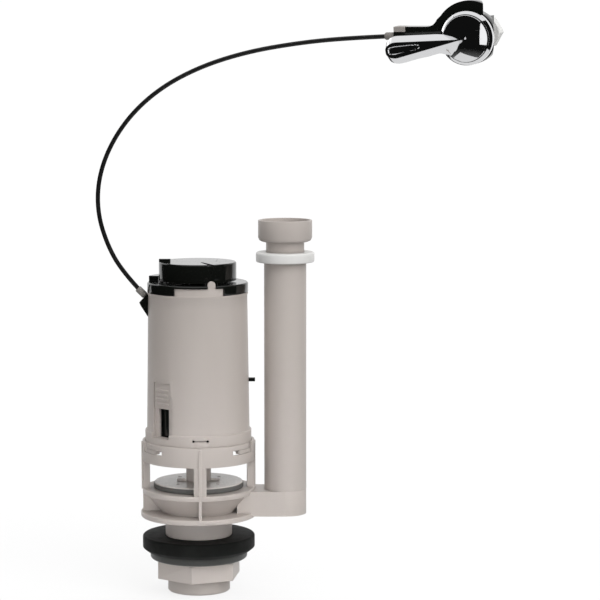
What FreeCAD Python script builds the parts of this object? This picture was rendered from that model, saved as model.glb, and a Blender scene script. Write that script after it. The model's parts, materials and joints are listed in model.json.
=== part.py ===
import FreeCAD, Part
import math
import os
import Sketcher
from FreeCAD import Placement, Rotation, Vector

# Cable-operated toilet flush valve with a side overflow and a cable lever.
# Frame: origin on the valve axis in the plane of the flange's underside, which is the
# face that seats on the cistern floor. +Z is up, +X points to the overflow pipe and
# -Y is the side that carries the tuning dial's window. Millimetres.

doc = FreeCAD.newDocument("flush_valve")
sheet = doc.addObject("Spreadsheet::Sheet", "Sizes")

DRIVING_SIZES = {
    # tail and outlet, for a 1 1/2 inch parallel pipe thread
    "tail_bottom": 54.7,
    "bore_radius": 19.4,
    "pilot_radius": 22.4,
    "thread_radius": 23.85,
    "thread_pitch": 2.309,
    "shank_radius": 24.0,
    # seat and cage
    "flange_radius": 41.5,
    "flange_thick": 3.7,
    "seat_radius": 40.2,
    "seat_low": 17.1,
    "seat_high": 20.6,
    "seat_bore": 30.0,
    "post_radius": 39.8,
    "post_width": 8.9,
    "post_thick": 4.6,
    "rib_width": 2.0,
    "rib_radius": 41.0,
    "band_radius": 40.2,
    "band_thick": 1.8,
    "band_low": 41.0,
    "band_high": 55.2,
    "bayonet_low": 48.4,
    "bayonet_high": 51.8,
    # side arm and overflow
    "arm_reach": 62.5,
    "arm_low": 1.5,
    "arm_high": 19.3,
    "pipe_radius": 15.1,
    "pipe_bore": 13.8,
    "pipe_top": 185.8,
    "grip_radius": 20.9,
    "grip_low": 183.4,
    "grip_high": 190.6,
    "neck_radius": 13.65,
    "neck_bore": 12.3,
    "neck_low": 112.0,
    "collar_radius": 19.3,
    "collar_low": 198.0,
    "collar_high": 213.4,
    # clamp stack on the tail
    "washer_radius": 40.4,
    "washer_high": 13.9,
    "washer_low": 25.3,
    "slip_radius": 35.2,
    "slip_low": 30.8,
    "nut_low": 44.5,
    "nut_across_flats": 54.4,
    # housing, cap and dial
    "skirt_radius": 38.1,
    "skirt_low": 53.0,
    "skirt_high": 63.3,
    "housing_foot": 36.8,
    "housing_head": 35.4,
    "housing_high": 162.0,
    "housing_wall": 1.8,
    "cap_radius": 36.1,
    "cap_low": 162.4,
    "cap_high": 169.2,
    "dial_radius": 27.7,
    "dial_low": 170.6,
    "dial_high": 183.6,
    # plug
    "plug_radius": 31.8,
    "seal_radius": 32.3,
    "seal_low": 20.65,
    "seal_high": 24.3,
    "plug_high": 25.0,
    "stem_radius": 8.9,
    "stem_high": 141.0,
    # lever
    "rose_radius": 18.8,
    "boss_radius": 15.9,
    "lever_reach": 57.6,
    "lever_tip": 9.4,
    "lever_root": 6.4,
    "lever_droop": 9.0,
    "drum_radius": 13.2,
    "spigot_radius": 7.6,
    "spigot_length": 51.0,
    "guard_radius": 25.5,
    # cable
    "sheath_diameter": 3.2,
    "wire_radius": 0.75,
}


class Size:
    """A number together with the spreadsheet expression that gives it."""

    def __init__(self, value, text=None):
        self.value = float(value)
        self.text = text if text is not None else repr(float(value))

    def __add__(self, other):
        return joined(self, "+", other)

    def __radd__(self, other):
        return joined(other, "+", self)

    def __sub__(self, other):
        return joined(self, "-", other)

    def __rsub__(self, other):
        return joined(other, "-", self)

    def __mul__(self, other):
        return joined(self, "*", other)

    def __rmul__(self, other):
        return joined(other, "*", self)

    def __truediv__(self, other):
        return joined(self, "/", other)

    def __neg__(self):
        return joined(0.0, "-", self)


def sized(number):
    """Any number as a Size."""
    return number if isinstance(number, Size) else Size(number)


def joined(first, sign, second):
    """Two sizes under one arithmetic sign, as a value and as an expression."""
    first = sized(first)
    second = sized(second)
    results = {"+": first.value + second.value, "-": first.value - second.value,
               "*": first.value * second.value}
    result = first.value / second.value if sign == "/" else results[sign]
    return Size(result, "(%s %s %s)" % (first.text, sign, second.text))


class Cells:
    """The sheet's driving sizes by name."""


S = Cells()
for row, (alias, number) in enumerate(DRIVING_SIZES.items(), start=1):
    sheet.set("A%d" % row, alias)
    sheet.set("B%d" % row, str(number))
    sheet.setAlias("B%d" % row, alias)
    setattr(S, alias, Size(number, "Sizes." + alias))
doc.recompute()

nodes = []
counts = {}


def fresh(stem):
    """An object name that is not in the document yet."""
    counts[stem] = counts.get(stem, 0) + 1
    return "%s_%d" % (stem, counts[stem])


def bind(thing, path, number):
    """Ties one property to the sheet."""
    number = sized(number)
    if number.text == repr(number.value):
        thing.setExpression(path, "%r" % number.value)
    else:
        thing.setExpression(path, number.text)


def place(thing, x=0.0, y=0.0, z=0.0, rotation=None):
    """Puts an object at sheet-driven coordinates, with an optional turn."""
    position = Vector(sized(x).value, sized(y).value, sized(z).value)
    thing.Placement = Placement(position, rotation or Rotation())
    for axis, number in (("x", x), ("y", y), ("z", z)):
        if isinstance(number, Size):
            bind(thing, "Placement.Base." + axis, number)
    return thing


def about(axis, degrees):
    """A rotation about a named axis."""
    vectors = {"x": Vector(1, 0, 0), "y": Vector(0, 1, 0), "z": Vector(0, 0, 1)}
    return Rotation(vectors[axis], degrees)


def cylinder(radius, height, x=0.0, y=0.0, z=0.0, rotation=None, angle=360.0):
    """A round bar, or a wedge of one when angle is less than a full turn."""
    thing = doc.addObject("Part::Cylinder", fresh("bar"))
    bind(thing, "Radius", radius)
    bind(thing, "Height", height)
    thing.Angle = angle
    return place(thing, x, y, z, rotation)


def tube(outer, inner, low, high, x=0.0, y=0.0):
    """A plain upright tube."""
    wall = cylinder(outer, high - low, x, y, low)
    hole = cylinder(inner, high - low + 2.0, x, y, low - 1.0)
    return cut(wall, hole)


def cone(low_radius, high_radius, height, x=0.0, y=0.0, z=0.0, rotation=None):
    """A tapered bar."""
    thing = doc.addObject("Part::Cone", fresh("taper"))
    bind(thing, "Radius1", low_radius)
    bind(thing, "Radius2", high_radius)
    bind(thing, "Height", height)
    return place(thing, x, y, z, rotation)


def block(length, width, height, x=0.0, y=0.0, z=0.0, rotation=None):
    """A box, placed by its low corner."""
    thing = doc.addObject("Part::Box", fresh("block"))
    bind(thing, "Length", length)
    bind(thing, "Width", width)
    bind(thing, "Height", height)
    return place(thing, x, y, z, rotation)


def spoke(width, inner, outer, low, high, degrees):
    """A radial box from one radius to another, turned about the valve axis."""
    turn = about("z", degrees)
    corner = turn.multVec(Vector(sized(inner).value, -sized(width).value / 2, 0))
    thing = block(outer - inner, width, high - low)
    return place(thing, corner.x, corner.y, low, turn)


def fuse(*things, refine=True):
    """One solid from several."""
    thing = doc.addObject("Part::MultiFuse", fresh("joined"))
    thing.Shapes = list(things)
    thing.Refine = refine
    return thing


def cut(base, *tools):
    """A base with one or more tools taken away."""
    thing = doc.addObject("Part::Cut", fresh("carved"))
    thing.Base = base
    thing.Tool = tools[0] if len(tools) == 1 else fuse(*tools)
    return thing


def common(first, second):
    """What two solids share."""
    thing = doc.addObject("Part::Common", fresh("shared"))
    thing.Base = first
    thing.Tool = second
    return thing


def origin_plane(body, role):
    """One of a body's own origin planes."""
    return [plane for plane in body.Origin.OriginFeatures if plane.Role == role][0]


def outline_sketch(body, role, points):
    """A closed outline of straight sides whose corners are tied to the sheet."""
    sketch = body.newObject("Sketcher::SketchObject", fresh("outline"))
    sketch.AttachmentSupport = [(origin_plane(body, role), "")]
    sketch.MapMode = "FlatFace"
    corners = [Vector(sized(a).value, sized(b).value, 0) for a, b in points]
    count = len(corners)
    for index in range(count):
        side = Part.LineSegment(corners[index], corners[(index + 1) % count])
        sketch.addGeometry(side, False)
    for index in range(count):
        following = (index + 1) % count
        sketch.addConstraint(Sketcher.Constraint("Coincident", index, 2, following, 1))
    for index, pair in enumerate(points):
        for kind, number in zip(("DistanceX", "DistanceY"), pair):
            value = sized(number).value
            made = sketch.addConstraint(Sketcher.Constraint(kind, -1, 1, index, 1, value))
            if isinstance(number, Size):
                sketch.setExpression("Constraints[%d]" % made, number.text)
    return sketch


def turned(points, degrees=360.0):
    """A body turned about the Z axis from (radius, height) corners."""
    body = doc.addObject("PartDesign::Body", fresh("turned"))
    sketch = outline_sketch(body, "XZ_Plane", points)
    feature = body.newObject("PartDesign::Revolution", fresh("revolution"))
    feature.Profile = sketch
    feature.ReferenceAxis = (sketch, ["V_Axis"])
    feature.Angle = degrees
    return body


def plate(points, thickness, role="XY_Plane"):
    """A body padded from a flat outline."""
    body = doc.addObject("PartDesign::Body", fresh("plate"))
    sketch = outline_sketch(body, role, points)
    feature = body.newObject("PartDesign::Pad", fresh("pad"))
    feature.Profile = sketch
    bind(feature, "Length", thickness)
    return body


def keep(thing, label):
    """Names a finished sub-part and lists it for export."""
    thing.Label = label
    nodes.append(thing)
    return thing


# ---------------------------------------------------------------- base and cage

POST_ANGLES = (-86, 4, 94, 184)
RIB_ANGLES = (-86, 94, 184)
SLOT_STARTS = (-162, -50, 16, 128)
SLOT_SWEEP = 34
ENTRY_SWEEP = 8
THREAD_LOW = -46.0
THREAD_HIGH = -16.5
SPIGOT_TOP = -46.6
ROOT_STEP = 0.25
DUCT_WALL = 2.4


def funnel():
    """Tail with its plain spigot, flange, funnel and seat ring, turned in one."""
    return turned([
        (S.bore_radius, -S.tail_bottom),
        (S.pilot_radius - 0.6, -S.tail_bottom),
        (S.pilot_radius, -S.tail_bottom + 0.6),
        (S.pilot_radius, Size(SPIGOT_TOP)),
        (S.pilot_radius - ROOT_STEP, Size(SPIGOT_TOP + ROOT_STEP)),
        (S.pilot_radius - ROOT_STEP, Size(THREAD_HIGH + 1.0)),
        (S.shank_radius, Size(THREAD_HIGH + 2.5)),
        (S.shank_radius, Size(0.0)),
        (S.flange_radius - 0.5, Size(0.0)),
        (S.flange_radius, Size(0.5)),
        (S.flange_radius, S.flange_thick - 0.5),
        (S.flange_radius - 0.5, S.flange_thick),
        (S.shank_radius + 3.0, S.flange_thick),
        (S.seat_radius - 2.2, S.seat_low),
        (S.seat_radius, S.seat_low),
        (S.seat_radius, S.seat_high - 0.5),
        (S.seat_radius - 0.5, S.seat_high),
        (S.seat_bore, S.seat_high),
        (S.seat_bore, S.seat_low + 1.5),
        (S.seat_bore + 4.0, S.seat_low + 1.0),
        (S.shank_radius + 0.5, S.flange_thick),
        (S.bore_radius, Size(0.5)),
    ])


def funnel_void():
    """The water way above the outlet bore."""
    return turned([
        (Size(0.0), Size(0.5)),
        (S.bore_radius, Size(0.5)),
        (S.shank_radius + 0.5, S.flange_thick),
        (S.seat_bore + 4.0, S.seat_low + 1.0),
        (S.seat_bore, S.seat_low + 1.5),
        (S.seat_bore, S.seat_high + 1.0),
        (Size(0.0), S.seat_high + 1.0),
    ])


def side_arm():
    """The arm that carries the overflow pipe, with a rounded end."""
    height = S.arm_high - S.arm_low
    bar = block(S.arm_reach - 28.0, 2 * S.pipe_radius, height, 28.0, -S.pipe_radius, S.arm_low)
    end = cylinder(S.pipe_radius, height, S.arm_reach, 0.0, S.arm_low)
    return fuse(bar, end)


def duct():
    """The passage from the overflow pipe to below the seat."""
    half = S.pipe_bore - 1.4
    low = S.arm_low + DUCT_WALL
    height = S.arm_high - S.arm_low - 2 * DUCT_WALL
    bar = block(S.arm_reach - 22.0, 2 * half, height, 22.0, -half, low)
    end = cylinder(half, height, S.arm_reach, 0.0, low)
    socket = cylinder(S.pipe_bore, 10.0, S.arm_reach, 0.0, S.arm_high - 6.0)
    return fuse(bar, end, socket)


def cage():
    """Posts, ribs and the bayonet band above the seat."""
    ring = tube(S.post_radius, S.post_radius - S.post_thick, S.seat_high - 1.0, S.band_low + 1.0)
    bars = [spoke(S.post_width, Size(30.0), Size(45.0), S.seat_high - 1.0, S.band_low + 1.0, a)
            for a in POST_ANGLES]
    posts = common(ring, fuse(*bars))
    band = tube(S.band_radius, S.band_radius - S.band_thick, S.band_low, S.band_high)
    slots = []
    for start in SLOT_STARTS:
        run = cylinder(Size(45.0), S.bayonet_high - S.bayonet_low, 0.0, 0.0, S.bayonet_low,
                       about("z", start), SLOT_SWEEP)
        entry_at = start if start < -90 or 0 < start < 90 else start + SLOT_SWEEP - ENTRY_SWEEP
        entry = cylinder(Size(45.0), S.band_high - S.bayonet_low + 1.0, 0.0, 0.0, S.bayonet_low,
                         about("z", entry_at), ENTRY_SWEEP)
        slots += [run, entry]
    fins = [spoke(S.rib_width, S.post_radius - 1.5, S.rib_radius, S.seat_high - 1.0,
                  S.band_high - 1.0, a) for a in POST_ANGLES]
    return fuse(cut(band, *slots), posts, *fins)


def lower_ribs():
    """Thin webs between the flange and the seat ring."""
    return [spoke(S.rib_width, S.shank_radius + 4.0, S.seat_radius - 0.2, S.flange_thick - 0.5,
                  S.seat_low + 0.5, a) for a in RIB_ANGLES]


def tail_thread():
    """The parallel pipe thread on the tail, as one helical ridge."""
    body = doc.addObject("PartDesign::Body", fresh("thread"))
    root = S.pilot_radius - 2 * ROOT_STEP
    tip = S.thread_radius
    start = Size(THREAD_LOW)
    sketch = outline_sketch(body, "XZ_Plane", [
        (root, start),
        (tip, start + 0.75),
        (tip, start + 1.05),
        (root, start + 1.8),
    ])
    helix = body.newObject("PartDesign::AdditiveHelix", fresh("helix"))
    helix.Profile = sketch
    helix.ReferenceAxis = (sketch, ["V_Axis"])
    helix.Mode = 0
    bind(helix, "Pitch", S.thread_pitch)
    helix.Height = THREAD_HIGH - THREAD_LOW - 2.0
    return body


# The tail, the funnel, the arm and the cage are welded end to end, and each is a sub-part.
arm = cut(side_arm(), funnel(), funnel_void(), duct())
keep(arm, "overflow_arm")
funnel_wall = cut(fuse(funnel(), *lower_ribs()), funnel_void(), duct())
tail_zone = fuse(cylinder(S.flange_radius, S.tail_bottom, 0.0, 0.0, -S.tail_bottom),
                 cylinder(S.shank_radius, Size(1.5), 0.0, 0.0, Size(-1.0)))
keep(fuse(common(funnel_wall, tail_zone), tail_thread(), refine=False), "outlet_tail")
above_seat = block(Size(200.0), Size(200.0), Size(80.0), -100.0, -100.0, S.seat_high)
basket = cage()
keep(cut(fuse(funnel_wall, cut(basket, above_seat)), tail_zone), "base_funnel")
keep(common(basket, above_seat), "cage_frame")

# ---------------------------------------------------------------- overflow


def shifted(thing, x=0.0, y=0.0, z=0.0, rotation=None):
    """Moves a finished sub-part as a whole."""
    return place(thing, x, y, z, rotation)


pipe = turned([
    (S.pipe_bore - 1.3, S.arm_high - 5.5),
    (S.pipe_bore - 0.05, S.arm_high - 5.5),
    (S.pipe_bore - 0.05, S.arm_high),
    (S.pipe_radius, S.arm_high),
    (S.pipe_radius, S.pipe_top),
    (S.pipe_bore, S.pipe_top),
    (S.pipe_bore, S.arm_high + 3.0),
    (S.pipe_bore - 1.3, S.arm_high + 1.0),
])
keep(shifted(pipe, x=S.arm_reach), "overflow_pipe")

grip = turned([
    (S.pipe_radius + 0.05, S.grip_low),
    (S.grip_radius - 0.6, S.grip_low),
    (S.grip_radius, S.grip_low + 0.6),
    (S.grip_radius, S.grip_high - 0.9),
    (S.grip_radius - 0.9, S.grip_high),
    (S.neck_radius + 0.1, S.grip_high),
    (S.neck_radius + 0.1, S.pipe_top + 0.05),
    (S.pipe_radius + 0.05, S.pipe_top + 0.05),
])
keep(shifted(grip, x=S.arm_reach), "overflow_grip_ring")

extension = turned([
    (S.neck_bore, S.neck_low),
    (S.neck_radius, S.neck_low),
    (S.neck_radius, S.collar_low),
    (S.collar_radius - 3.0, S.collar_low),
    (S.collar_radius - 0.9, S.collar_low + 0.9),
    (S.collar_radius, S.collar_low + 3.0),
    (S.collar_radius, S.collar_high),
    (S.collar_radius - 1.7, S.collar_high),
    (S.collar_radius - 1.7, S.collar_low + 3.2),
    (S.collar_radius - 2.6, S.collar_low + 2.0),
    (S.neck_bore, S.collar_low + 2.0),
])
keep(shifted(extension, x=S.arm_reach), "overflow_extension")

# ---------------------------------------------------------------- clamp stack

washer = turned([
    (S.shank_radius + 0.3, -S.washer_low),
    (S.washer_radius - 3.2, -S.washer_low),
    (S.washer_radius, -S.washer_low + 2.6),
    (S.washer_radius, -S.washer_high - 0.8),
    (S.washer_radius - 0.8, -S.washer_high),
    (S.shank_radius + 0.3, -S.washer_high),
])
keep(washer, "sealing_washer")

slip = turned([
    (S.shank_radius + 0.3, -S.slip_low),
    (S.slip_radius - 1.4, -S.slip_low),
    (S.slip_radius - 0.4, -S.slip_low + 0.8),
    (S.slip_radius, -S.washer_low),
    (S.shank_radius + 0.3, -S.washer_low),
])
keep(slip, "slip_ring")

NUT_TURN = 22.7
hexagon = doc.addObject("Part::Prism", fresh("hexagon"))
hexagon.Polygon = 6
bind(hexagon, "Circumradius", S.nut_across_flats / math.sqrt(3.0))
bind(hexagon, "Height", S.nut_low - S.slip_low - 1.6)
place(hexagon, 0.0, 0.0, -S.nut_low, about("z", NUT_TURN))
face = cylinder(S.nut_across_flats / 2 + 2.6, Size(1.6), 0.0, 0.0, -S.slip_low - 1.6)
nut_bore = turned([
    (Size(0.0), -S.nut_low - 1.0),
    (S.shank_radius + 1.6, -S.nut_low - 1.0),
    (S.shank_radius, -S.nut_low + 0.8),
    (S.shank_radius, -S.slip_low - 0.8),
    (S.shank_radius + 1.6, -S.slip_low + 1.0),
    (Size(0.0), -S.slip_low + 1.0),
])
keep(cut(fuse(hexagon, face), nut_bore), "backnut")

# ---------------------------------------------------------------- plug and stem

GUIDE_ANGLES = (30, 150, 270)
DIMPLE_ANGLES = (45, 135, 225, 315)
FLOAT_LOW = 92.0
FLOAT_HIGH = 117.0

seal = turned([
    (Size(13.0), S.seal_low),
    (S.seal_radius - 0.6, S.seal_low),
    (S.seal_radius, S.seal_low + 0.6),
    (S.seal_radius, S.seal_high - 0.4),
    (S.seal_radius - 0.4, S.seal_high),
    (Size(13.0), S.seal_high),
])
keep(seal, "plug_seal")

disc = turned([
    (Size(0.0), S.seal_low),
    (Size(13.0), S.seal_low),
    (Size(13.0), S.seal_high),
    (S.plug_radius, S.seal_high),
    (S.plug_radius, S.plug_high - 0.6),
    (S.plug_radius - 0.6, S.plug_high),
    (Size(0.0), S.plug_high),
])
dimples = [cylinder(Size(1.6), Size(1.0), 20.0 * math.cos(math.radians(a)),
                    20.0 * math.sin(math.radians(a)), S.plug_high - 0.6)
           for a in DIMPLE_ANGLES]
webs = [spoke(Size(1.6), S.stem_radius + 0.1, Size(15.5), S.plug_high - 0.2,
              S.plug_high + 1.6, a) for a in (0, 90, 180, 270)]
keep(fuse(cut(disc, *dimples), *webs), "plug_disc")

retainer_disc = turned([
    (Size(0.0), S.seal_low - 2.4),
    (S.seat_bore - 4.0, S.seal_low - 2.4),
    (S.seat_bore - 3.2, S.seal_low - 1.2),
    (S.seat_bore - 3.2, S.seal_low),
    (Size(0.0), S.seal_low),
])
wings = [spoke(Size(1.6), Size(2.0), S.seat_bore - 10.8, Size(3.2), S.seal_low - 2.0, a)
         for a in GUIDE_ANGLES]
keep(fuse(retainer_disc, *wings), "seal_retainer")

stem = turned([
    (S.stem_radius - 2.0, S.plug_high),
    (S.stem_radius, S.plug_high),
    (S.stem_radius, S.stem_high - 3.0),
    (Size(14.5), S.stem_high - 3.0),
    (Size(14.5), S.stem_high - 0.6),
    (Size(13.9), S.stem_high),
    (S.stem_radius - 2.0, S.stem_high),
])
keep(stem, "valve_stem")

float_ring = turned([
    (S.stem_radius + 0.05, Size(FLOAT_LOW)),
    (Size(13.0), Size(FLOAT_LOW)),
    (Size(13.0), Size(FLOAT_HIGH - 2.0)),
    (Size(27.5), Size(FLOAT_HIGH - 2.0)),
    (Size(27.5), Size(FLOAT_LOW)),
    (Size(29.5), Size(FLOAT_LOW)),
    (Size(29.5), Size(FLOAT_HIGH)),
    (S.stem_radius + 0.05, Size(FLOAT_HIGH)),
])
keep(float_ring, "float_cup")

clip = turned([
    (S.stem_radius, Size(FLOAT_HIGH)),
    (Size(12.2), Size(FLOAT_HIGH)),
    (Size(12.2), Size(FLOAT_HIGH + 1.6)),
    (S.stem_radius, Size(FLOAT_HIGH + 1.6)),
])
keep(clip, "float_clip")

# ---------------------------------------------------------------- housing

TRACK_ANGLE = -134.0
TRACK_WIDTH = 17.0
TRACK_LOW = 60.0
TRACK_HIGH = 99.5
WINDOW_WIDTH = 10.0
PEG_SLOT_LOW = 84.0
PEG_SLOT_HIGH = 112.0
PIVOT_X = 25.0
PIVOT_Z = 156.0
PIN_RADIUS = 1.6
PIN_HALF = 16.3
PIN_HOLE_HALF = 16.7
CABLE_SUM = 121.5
PANEL_FROM = -115.2
PANEL_SWEEP = 58.2
PANEL_HIGH = 167.2
TAB_ANGLE = -71.0
TAB_RADIUS = 33.0
TAB_HALF = 2.8
TAB_THICK = 1.4
TAB_LOW = 163.8
TAB_HIGH = 169.8
LUG_STARTS = (-157, -41, 23, 137)
LUG_SWEEP = 20
CABLE_TURN = about("y", -45.0)
WIRE_BORE = 1.45
FERRULE_NECK = 2.1
FERRULE_COLLAR = 2.5
FERRULE_COLLAR_FROM = 9.6
FERRULE_END = 16.8
SEAT_IN_VALVE = 12.2


def housing_shell():
    """The tapered outer shell with its foot band and top bead."""
    wall = S.housing_wall
    return turned([
        (S.skirt_radius - wall, S.skirt_low),
        (S.skirt_radius, S.skirt_low),
        (S.skirt_radius, S.skirt_high - 0.6),
        (S.skirt_radius - 0.6, S.skirt_high),
        (S.housing_foot, S.skirt_high),
        (S.housing_head, S.housing_high - 2.0),
        (S.housing_head + 0.5, S.housing_high - 1.2),
        (S.housing_head + 0.5, S.housing_high),
        (S.housing_head - wall - 2.0, S.housing_high),
        (S.housing_head - wall, S.housing_high - 3.0),
        (S.housing_foot - wall, S.skirt_high),
    ])


def front_panel():
    """The wall that stands up into the cap's window, with a pointer tab."""
    ring = tube(S.housing_head - 0.4, S.housing_head - 2.0, S.housing_high - 1.0, Size(PANEL_HIGH))
    sector = cylinder(Size(50.0), Size(12.0), 0.0, 0.0, S.housing_high - 1.5,
                      about("z", PANEL_FROM), PANEL_SWEEP)
    turn = about("z", TAB_ANGLE + 90.0)
    tab_head = turn.multVec(Vector(0, -TAB_RADIUS, 0))
    tab_round = cylinder(Size(TAB_HALF), Size(TAB_THICK), tab_head.x, tab_head.y, Size(TAB_HIGH),
                         turn.multiply(about("x", 90.0)))
    corner = turn.multVec(Vector(-TAB_HALF, -TAB_RADIUS - TAB_THICK, 0))
    tab_post = block(Size(2 * TAB_HALF), Size(TAB_THICK), Size(TAB_HIGH - TAB_LOW), corner.x,
                     corner.y, Size(TAB_LOW), turn)
    return fuse(common(ring, sector), tab_round, tab_post)


def bayonet_lugs():
    """Lugs that turn into the cage's slots."""
    lugs = []
    for start in LUG_STARTS:
        lug = common(tube(S.band_radius - 0.2, S.skirt_radius - S.housing_wall,
                          S.bayonet_low + 0.3, S.bayonet_high - 0.3),
                     cylinder(Size(50.0), Size(10.0), 0.0, 0.0, S.bayonet_low - 2.0,
                              about("z", start), LUG_SWEEP))
        leg = common(tube(S.skirt_radius, S.skirt_radius - S.housing_wall,
                          S.bayonet_low + 0.3, S.skirt_low + 1.0),
                     cylinder(Size(50.0), Size(12.0), 0.0, 0.0, S.bayonet_low - 2.0,
                              about("z", start), LUG_SWEEP))
        lugs += [lug, leg]
    return lugs


def pivot_lugs():
    """Two ears inside the head that hold the rocker's pin."""
    ears = []
    for side in (-1, 1):
        low_y = 12.9 if side > 0 else -16.4
        ears.append(block(Size(16.0), Size(3.5), Size(11.0), 20.0, low_y, 150.0))
    inside = cylinder(S.housing_head - 0.5, Size(20.0), 0.0, 0.0, 145.0)
    return common(fuse(*ears), inside)


def cable_line(radius, along_from, along_to):
    """A round bar on the cable's line, which runs up and left at 45 degrees.
    Distances are measured outward from the point above x = -31."""
    start = Vector(-31.0, 0, CABLE_SUM + 31.0)
    outward = Vector(-1, 0, 1).normalize()
    low = start + outward * along_from
    return cylinder(radius, Size(along_to - along_from), low.x, low.y, low.z, CABLE_TURN)


backing = spoke(Size(TRACK_WIDTH + 3.0), Size(31.6), Size(35.6), Size(TRACK_LOW - 2.0),
                Size(TRACK_HIGH + 2.0), TRACK_ANGLE)
pocket = spoke(Size(TRACK_WIDTH), Size(33.4), Size(45.0), Size(TRACK_LOW), Size(TRACK_HIGH),
               TRACK_ANGLE)
window = spoke(Size(WINDOW_WIDTH), Size(28.0), Size(45.0), Size(TRACK_LOW + 0.4),
               Size(TRACK_HIGH - 4.0), TRACK_ANGLE)
peg_slot = spoke(Size(4.6), Size(28.0), Size(45.0), Size(PEG_SLOT_LOW), Size(PEG_SLOT_HIGH), 0.0)
pin_hole = cylinder(Size(PIN_RADIUS), Size(2 * PIN_HOLE_HALF), PIVOT_X,
                    PIN_HOLE_HALF, PIVOT_Z, about("x", 90.0))
mark_line = spoke(Size(9.0), Size(34.0), Size(45.0), Size(59.4), Size(60.0), -85.2)
mark_dots = [cylinder(Size(0.95), Size(12.0), offset, -34.0, 59.7, about("x", 90.0))
             for offset in (-1.9, 8.1)]
shell = cut(fuse(housing_shell(), common(backing, cylinder(S.housing_foot - 0.4, Size(60.0),
                                                           z=Size(50.0)))),
            pocket, window, peg_slot)
housing = cut(fuse(shell, front_panel(), pivot_lugs(), *bayonet_lugs()),
              pin_hole, mark_line, *mark_dots, cable_line(Size(FERRULE_NECK + 0.1), -12.0, 14.0))
keep(housing, "outer_housing")

slider_plate = spoke(Size(TRACK_WIDTH - 0.5), Size(33.5), Size(34.9), Size(81.0),
                     Size(TRACK_HIGH - 0.3), TRACK_ANGLE)
slider_ribs = [spoke(Size(TRACK_WIDTH - 4.0), Size(34.5), Size(35.8), Size(84.0 + 3.2 * step),
                     Size(85.2 + 3.2 * step), TRACK_ANGLE) for step in range(4)]
slider_neck = spoke(Size(WINDOW_WIDTH - 0.6), Size(31.0), Size(33.7), Size(86.0), Size(93.0),
                    TRACK_ANGLE)
keep(fuse(slider_plate, slider_neck, *slider_ribs), "volume_slider")

peg = fuse(spoke(Size(4.2), Size(32.0), Size(40.9), Size(97.4), Size(100.0), 0.0),
           spoke(Size(9.0), Size(32.2), Size(33.9), Size(93.5), Size(104.0), 0.0))
keep(peg, "level_adjuster")

spider_ring = tube(Size(13.0), S.stem_radius + 0.08, Size(66.0), Size(72.0))
spider_arms = [spoke(Size(2.4), Size(12.0), Size(34.6), Size(66.0), Size(70.0), a)
               for a in (-60, 60, 180)]
spider_rim = tube(Size(34.8), Size(33.4), Size(66.0), Size(70.0))
rim_gap = spoke(Size(24.0), Size(28.0), Size(45.0), Size(60.0), Size(75.0), TRACK_ANGLE)
# A dark baffle stands behind the slider's window.
baffle_zone = cylinder(Size(45.0), Size(30.0), 0.0, 0.0, Size(55.0), about("z", 180.0), 120.0)
baffle = common(tube(Size(30.4), Size(29.2), Size(57.0), Size(80.0)), baffle_zone)
keep(fuse(spider_ring, *spider_arms, cut(spider_rim, rim_gap), baffle), "stem_guide")

# ---------------------------------------------------------------- head and rocker

LIFT_PAD = (0.0, 133.6, 4.0)
WIRE_END = (-13.0, 130.0)
PLATE_IN = 10.0
PLATE_OUT = 12.5


def cross_bar(radius, x, z, half_width):
    """A round bar along Y, centred on the valve's middle plane."""
    return cylinder(radius, Size(2 * half_width), x, half_width, z, about("x", 90.0))


rocker_outline = plate([
    (Size(PIVOT_X + 1.0), Size(PIVOT_Z + 3.9)),
    (Size(PIVOT_X - 4.0), Size(PIVOT_Z + 2.4)),
    (Size(17.6), Size(150.0)),
    (Size(16.6), Size(137.4)),
    (Size(0.0), Size(137.4)),
    (Size(-4.0), Size(134.5)),
    (Size(-13.0), Size(133.6)),
    (Size(-14.5), Size(127.0)),
    (Size(-2.0), Size(128.6)),
    (Size(18.0), Size(130.5)),
    (Size(24.0), Size(136.0)),
    (Size(PIVOT_X + 4.2), Size(PIVOT_Z - 3.0)),
], Size(2 * PLATE_OUT), "XZ_Plane")
shifted(rocker_outline, y=PLATE_OUT)
between = block(Size(60.0), Size(2 * PLATE_IN), Size(60.0), -35.0, -PLATE_IN, 110.0)
plates = cut(fuse(rocker_outline, cross_bar(Size(4.0), LIFT_PAD[0], LIFT_PAD[1], PLATE_OUT),
                  cross_bar(Size(4.0), WIRE_END[0], WIRE_END[1], PLATE_OUT)), between)
hub = cross_bar(Size(4.4), PIVOT_X, PIVOT_Z, PLATE_OUT)
rocker = cut(fuse(plates, hub), cross_bar(Size(PIN_RADIUS + 0.06), PIVOT_X, PIVOT_Z, 20.0),
             cross_bar(Size(2.28), WIRE_END[0], WIRE_END[1], 20.0))
keep(rocker, "lift_rocker")

pin = cross_bar(Size(PIN_RADIUS), PIVOT_X, PIVOT_Z, PIN_HALF)
keep(pin, "rocker_pin")

nipple = cross_bar(Size(2.2), WIRE_END[0], WIRE_END[1], PLATE_OUT - 0.1)
keep(nipple, "cable_nipple")

mouth = Vector(-31.0, 0, CABLE_SUM + 31.0)
reach = mouth - Vector(WIRE_END[0], 0, WIRE_END[1])
wire_turn = Rotation(Vector(0, 0, 1), reach)
wire_start = Vector(WIRE_END[0], 0, WIRE_END[1]) + Vector(reach).normalize() * 2.25
wire = cylinder(S.wire_radius, Size(reach.Length - 1.0), wire_start.x, 0.0, wire_start.z, wire_turn)
keep(wire, "inner_wire")

# ---------------------------------------------------------------- cap and dial

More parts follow.
